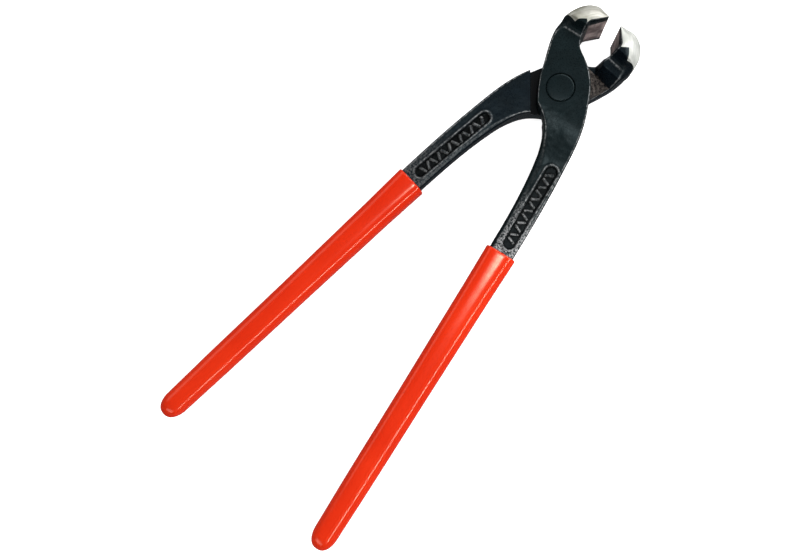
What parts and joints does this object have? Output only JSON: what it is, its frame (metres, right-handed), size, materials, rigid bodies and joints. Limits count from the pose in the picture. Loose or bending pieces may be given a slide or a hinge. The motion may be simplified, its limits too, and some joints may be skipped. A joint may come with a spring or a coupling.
{
  "type": "end-cutting nippers",
  "caption": "End-cutting tower pincers with broad ground jaws, crossed forged levers on a flush rivet, and long handles in glossy red dipped grips.",
  "frame": {"origin": "on the rivet's axis, in the plane of the joint's underside", "axes": "+Z along the rivet, +Y from the joint to the jaws, +X to the upper lever's handle; the tool opens about Z"},
  "size_m": [0.0966, 0.2477, 0.0275],
  "materials": {
    "forged_steel": "satin",
    "rivet_steel": "satin",
    "grip_vinyl": "gloss"
  },
  "bodies": {
    "lower_half": {"lower_lever": "forged_steel", "lower_grip": "grip_vinyl", "rivet": "rivet_steel"},
    "upper_half": {"upper_lever": "forged_steel", "upper_grip": "grip_vinyl"}
  },
  "joints": [
    {"name": "jaw_pivot", "type": "hinge", "parent": "lower_half", "child": "upper_half", "pos_m": [0, 0, 0.008], "axis": [0, 0, 1], "range_deg": [-10.3, 28]}
  ]
}
